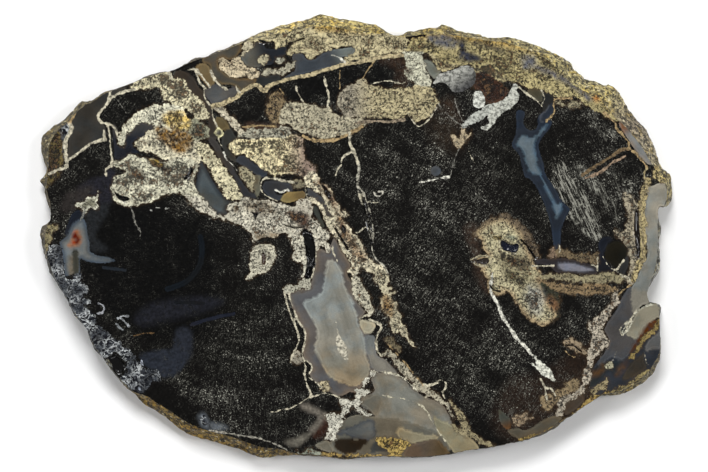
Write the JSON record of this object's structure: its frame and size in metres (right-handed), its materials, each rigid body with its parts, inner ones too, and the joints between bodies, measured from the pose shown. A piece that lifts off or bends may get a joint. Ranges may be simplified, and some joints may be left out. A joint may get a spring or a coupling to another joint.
{
  "type": "petrified wood slice",
  "caption": "Flat oval slice of agatised log: polished face with clefts, sawn back to lie on, and a rough natural rind round the rim.",
  "frame": {"origin": "middle of the underside, under the middle of the widest outline", "axes": "+X along the slice's length, to the right in the picture; +Y across it, up in the picture; +Z out of the polished face"},
  "size_m": [0.159, 0.112, 0.009],
  "materials": {
    "polished_stone": "polished on the face, sawn matt on the back, rough natural rind on the rim"
  },
  "bodies": {
    "root": {"petrified_wood_slice": "polished_stone"}
  },
  "joints": []
}
